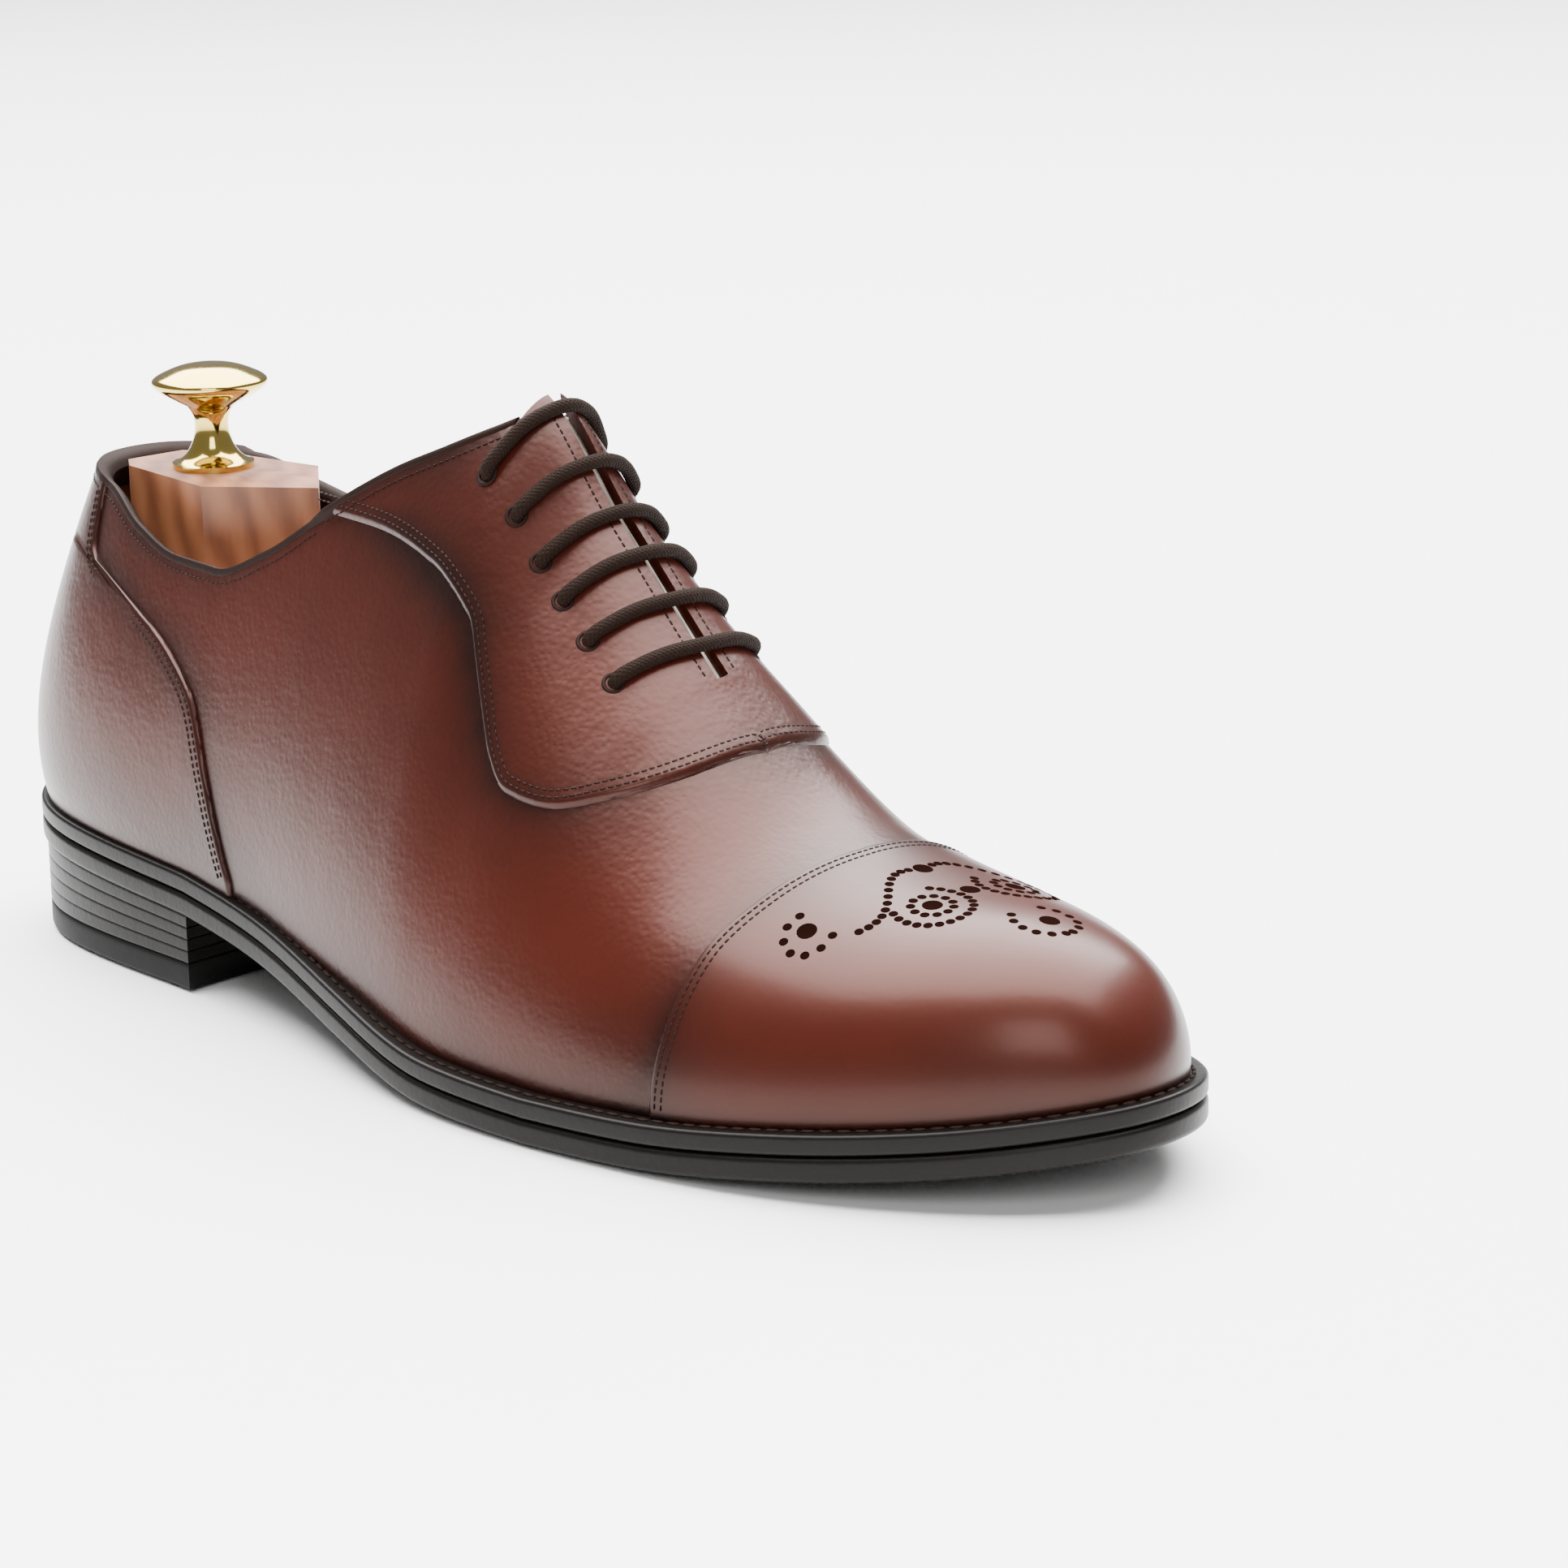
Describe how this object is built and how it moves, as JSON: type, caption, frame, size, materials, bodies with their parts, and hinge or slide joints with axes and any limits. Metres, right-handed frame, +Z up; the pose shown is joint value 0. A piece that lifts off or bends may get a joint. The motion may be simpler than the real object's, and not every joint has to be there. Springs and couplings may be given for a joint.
{
  "type": "leather oxford shoe",
  "caption": "Right-foot cap-toe oxford shoe with welted leather sole, stacked heel, straight-laced facing and a sprung cedar shoe tree with a brass knob.",
  "frame": {"origin": "middle of the bounding box's bottom face, on the ground", "axes": "+X along the shoe to the toe, +Y to the inner (medial) side, +Z up"},
  "size_m": [0.3061, 0.1053, 0.1294],
  "materials": {
    "upper_leather": "burnished calf, waxed gloss",
    "sole_leather": "black edge dressing, satin",
    "rubber": "matt",
    "nail_brass": "bright",
    "shank_steel": "satin",
    "cork": "pressed cork",
    "insole_leather": "natural, matt",
    "lining_leather": "tan, matt",
    "binding_leather": "dark, satin",
    "interlining": "woven cotton",
    "stiffener": "fibre board, matt",
    "lining_cloth": "cotton drill",
    "lace_cotton": "waxed round braid",
    "aglet_plastic": "smooth",
    "cedar": "sanded, unvarnished",
    "polished_brass": "polished",
    "screw_steel": "plain",
    "tube_steel": "plated"
  },
  "bodies": {
    "shoe": {"aglet_lower": "aglet_plastic", "aglet_upper": "aglet_plastic", "collar_tape": "interlining", "cork_filler": "cork", "heel_cover": "upper_leather", "heel_lift_1": "sole_leather", "heel_lift_2": "sole_leather", "heel_lift_3": "sole_leather", "heel_lift_4": "sole_leather", "heel_nails": "nail_brass", "heel_stiffener": "stiffener", "heel_top_piece": "rubber", "insole": "insole_leather", "lace": "lace_cotton", "lace_facing": "upper_leather", "outsole": "sole_leather", "quarter_doubler_inner": "interlining", "quarter_doubler_outer": "interlining", "quarter_lining": "lining_leather", "shank": "shank_steel", "sock_lining": "lining_leather", "toe_cap": "upper_leather", "toe_puff": "stiffener", "tongue": "upper_leather", "tongue_root": "upper_leather", "topline_binding": "binding_leather", "tree_cross_pin": "screw_steel", "tree_spring": "screw_steel", "tree_toe_inner": "cedar", "tree_toe_outer": "cedar", "tree_tube": "tube_steel", "vamp_lining": "lining_cloth", "vamp_quarters": "upper_leather", "welt": "sole_leather"},
    "tree_heel": {"tree_heel_block": "cedar", "tree_knob": "polished_brass", "tree_knob_screw": "screw_steel", "tree_rod": "screw_steel"}
  },
  "joints": [
    {"name": "tree_slide", "type": "slide", "parent": "shoe", "child": "tree_heel", "axis": [1, 0, 0], "range_m": [0, 0.012], "stiffness_N_per_m": 1500, "springref_m": -0.002}
  ]
}
